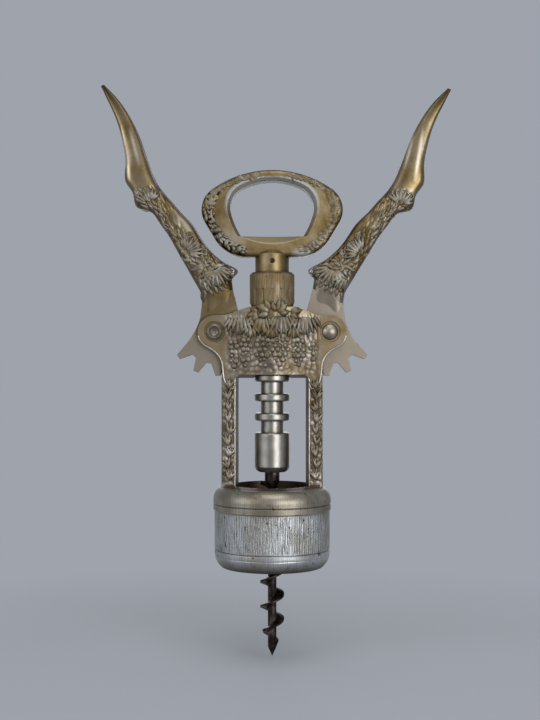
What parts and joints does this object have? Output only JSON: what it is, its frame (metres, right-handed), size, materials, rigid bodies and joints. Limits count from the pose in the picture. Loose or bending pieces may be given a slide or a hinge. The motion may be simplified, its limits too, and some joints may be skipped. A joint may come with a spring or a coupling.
{
  "type": "winged corkscrew",
  "caption": "Wing corkscrew with a barrel-shaped bell, two toothed levers ending in horns, a grooved rack sleeve, a right-hand worm and a loop handle that opens crown caps.",
  "frame": {"origin": "centre of the bell's mouth, on the plane of its rim", "axes": "+Z along the worm's axis from the bell's mouth to the handle, +X across the levers towards the right-hand lever seen from the front, -Y out of the decorated front"},
  "size_m": [0.1131, 0.038, 0.1845],
  "materials": {
    "silvered_casting": "zinc casting with worn silver plating, dark in its recesses",
    "golden_casting": "zinc casting with plating worn to an ochre tarnish, satin",
    "bright_steel": "turned steel, nickel plated, semi bright",
    "dark_steel": "oxidised brown black steel, satin"
  },
  "bodies": {
    "frame": {"frame": "silvered_casting", "left_rivet": "bright_steel", "right_rivet": "bright_steel"},
    "rack": {"rack_sleeve": "bright_steel"},
    "screw": {"worm": "dark_steel", "handle": "golden_casting", "handle_pin": "dark_steel", "thrust_washer": "bright_steel"},
    "left_arm": {"left_lever": "golden_casting"},
    "right_arm": {"right_lever": "golden_casting"}
  },
  "joints": [
    {"name": "rack_slide", "type": "slide", "parent": "frame", "child": "rack", "axis": [0, 0, 1], "range_m": [-0.001, 0.0306]},
    {"name": "screw_turn", "type": "hinge", "parent": "rack", "child": "screw", "pos_m": [0, 0, 0.06], "axis": [0, 0, 1], "continuous": true},
    {"name": "left_pivot", "type": "hinge", "parent": "frame", "child": "left_arm", "pos_m": [-0.0185, 0, 0.0754], "axis": [0, 1, 0], "range_deg": [-146.3, 4.8]},
    {"name": "right_pivot", "type": "hinge", "parent": "frame", "child": "right_arm", "pos_m": [0.0185, 0, 0.0754], "axis": [0, 1, 0], "range_deg": [-4.8, 146.3]}
  ],
  "couplings": [
    {"joint": "right_pivot", "follows": "rack_slide", "rad_per_m": 83.376},
    {"joint": "left_pivot", "follows": "rack_slide", "rad_per_m": -83.376}
  ]
}
